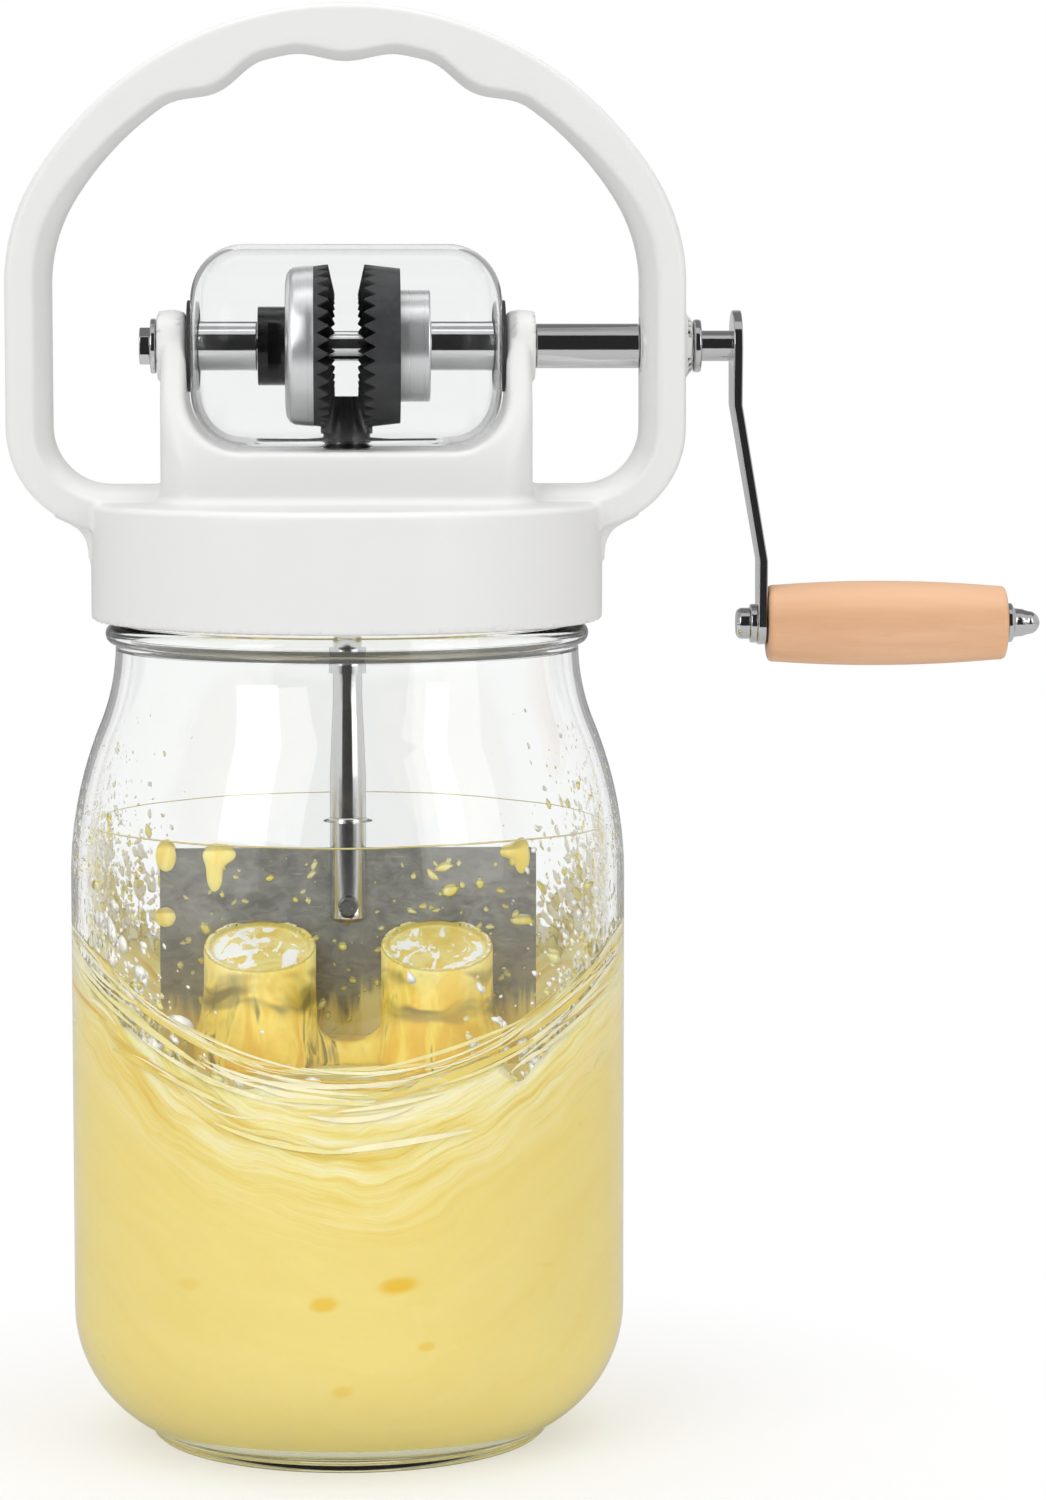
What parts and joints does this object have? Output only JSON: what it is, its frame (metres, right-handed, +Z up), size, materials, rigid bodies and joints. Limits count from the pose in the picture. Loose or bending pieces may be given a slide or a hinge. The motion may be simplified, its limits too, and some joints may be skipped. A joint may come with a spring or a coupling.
{
  "type": "glass jar butter churn",
  "caption": "Glass jar butter churn: a hand crank turns bevel gears under a clear cover, which spin a steel paddle; screw lid with a carrying handle.",
  "frame": {"origin": "centre of the ring that the jar stands on, on the table", "axes": "+Z up along the axis of the jar and the dasher, +X to the crank, -Y to the front"},
  "size_m": [0.2044, 0.11, 0.2835],
  "materials": {
    "jar_glass": "clear pressed glass",
    "butter": "soft butter",
    "white_plastic": "moulded, satin gloss",
    "clear_plastic": "clear moulding",
    "seal_rubber": "black rubber",
    "gasket_silicone": "white silicone",
    "bush_nylon": "plain nylon",
    "chrome": "bright chrome",
    "gear_nylon": "black nylon",
    "hub_metal": "turned, fine lines",
    "dasher_steel": "stainless steel",
    "beech": "oiled beech"
  },
  "bodies": {
    "jar": {"glass_jar": "jar_glass", "butter": "butter", "butter_rim": "butter"},
    "seal": {"lid_gasket": "gasket_silicone"},
    "lid": {"screw_lid": "white_plastic", "carry_handle": "white_plastic", "gear_yoke": "white_plastic", "cover_front": "clear_plastic", "cover_rear": "clear_plastic", "cover_ring_left": "seal_rubber", "cover_ring_right": "seal_rubber", "bush_left": "bush_nylon", "bush_right": "bush_nylon", "bush_handle": "bush_nylon", "spindle_bush": "bush_nylon", "spindle_seal": "seal_rubber"},
    "crank": {"crank_shaft": "chrome", "sleeve_left": "chrome", "sleeve_right": "chrome", "sleeve_outer": "chrome", "drive_gear": "gear_nylon", "drive_hub": "hub_metal", "end_washer": "chrome", "end_nut": "chrome", "shaft_collar": "chrome", "crank_arm": "chrome", "grip_bolt": "chrome", "bolt_washer": "chrome", "finial_nut": "chrome"},
    "idler": {"idler_gear": "gear_nylon", "idler_hub": "hub_metal", "idler_bush": "gear_nylon"},
    "dasher": {"pinion": "gear_nylon", "drive_spindle": "dasher_steel", "coupling_sleeve": "dasher_steel", "coupling_pin": "dasher_steel", "dasher_rod": "dasher_steel", "paddle": "dasher_steel", "paddle_screw": "dasher_steel"},
    "grip": {"wooden_grip": "beech"}
  },
  "joints": [
    {"name": "lid_lift", "type": "slide", "parent": "jar", "child": "seal", "axis": [0, 0, 1], "range_m": [0, 0.12]},
    {"name": "lid_turn", "type": "hinge", "parent": "seal", "child": "lid", "pos_m": [0, 0, 0.181], "axis": [0, 0, 1], "range_deg": [0, 450]},
    {"name": "crank_turn", "type": "hinge", "parent": "lid", "child": "crank", "pos_m": [0, 0, 0.217], "axis": [1, 0, 0], "continuous": true},
    {"name": "idler_turn", "type": "hinge", "parent": "lid", "child": "idler", "pos_m": [0, 0, 0.217], "axis": [1, 0, 0], "continuous": true},
    {"name": "dasher_turn", "type": "hinge", "parent": "lid", "child": "dasher", "pos_m": [0, 0, 0.15], "axis": [0, 0, 1], "continuous": true},
    {"name": "grip_turn", "type": "hinge", "parent": "crank", "child": "grip", "pos_m": [0.1, 0, 0.162], "axis": [1, 0, 0], "continuous": true}
  ],
  "couplings": [
    {"joint": "idler_turn", "follows": "crank_turn", "ratio": -1},
    {"joint": "dasher_turn", "follows": "crank_turn", "ratio": 3.6}
  ]
}
